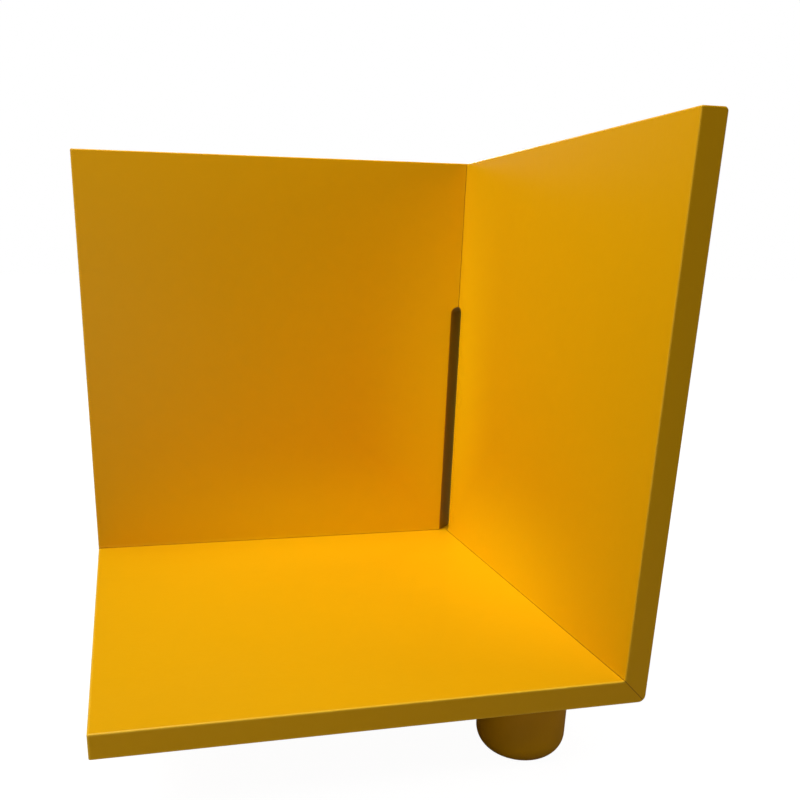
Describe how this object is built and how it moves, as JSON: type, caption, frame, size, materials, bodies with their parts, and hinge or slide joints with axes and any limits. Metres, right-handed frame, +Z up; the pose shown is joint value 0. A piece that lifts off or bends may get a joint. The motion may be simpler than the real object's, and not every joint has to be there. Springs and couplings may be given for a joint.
{
  "type": "open corner unit",
  "caption": "Open corner unit: a square base and two walls of thick board meet in mitred joints, stand on short round feet and leave a narrow slot up the back corner.",
  "frame": {"origin": "on the floor, under the middle of the square base", "axes": "+X runs right along the back wall towards the side wall, +Y runs to the back wall, +Z is up; the open sides face -X and -Y"},
  "size_m": [0.4, 0.4, 0.47],
  "materials": {
    "yellow_lacquer": "satin pigmented lacquer, sprayed over board",
    "foot_lacquer": "satin pigmented lacquer over turned wood",
    "zinc_steel": "bright zinc plate",
    "insert_brass": "machined",
    "grey_felt": "pressed wool felt",
    "beech": "raw pressed beech"
  },
  "bodies": {
    "root": {"base_panel": "yellow_lacquer", "back_panel": "yellow_lacquer", "side_panel": "yellow_lacquer", "foot_front_right": "foot_lacquer", "foot_back_right": "foot_lacquer", "foot_back_left": "foot_lacquer", "hanger_bolt_front_right": "zinc_steel", "hanger_bolt_back_right": "zinc_steel", "hanger_bolt_back_left": "zinc_steel", "threaded_insert_front_right": "insert_brass", "threaded_insert_back_right": "insert_brass", "threaded_insert_back_left": "insert_brass", "felt_glide_front_right": "grey_felt", "felt_glide_back_right": "grey_felt", "felt_glide_back_left": "grey_felt", "biscuit_base_back_1": "beech", "biscuit_base_back_2": "beech", "biscuit_base_back_3": "beech", "biscuit_base_side_1": "beech", "biscuit_base_side_2": "beech", "biscuit_base_side_3": "beech", "biscuit_back_side_1": "beech", "biscuit_back_side_2": "beech"}
  },
  "joints": []
}
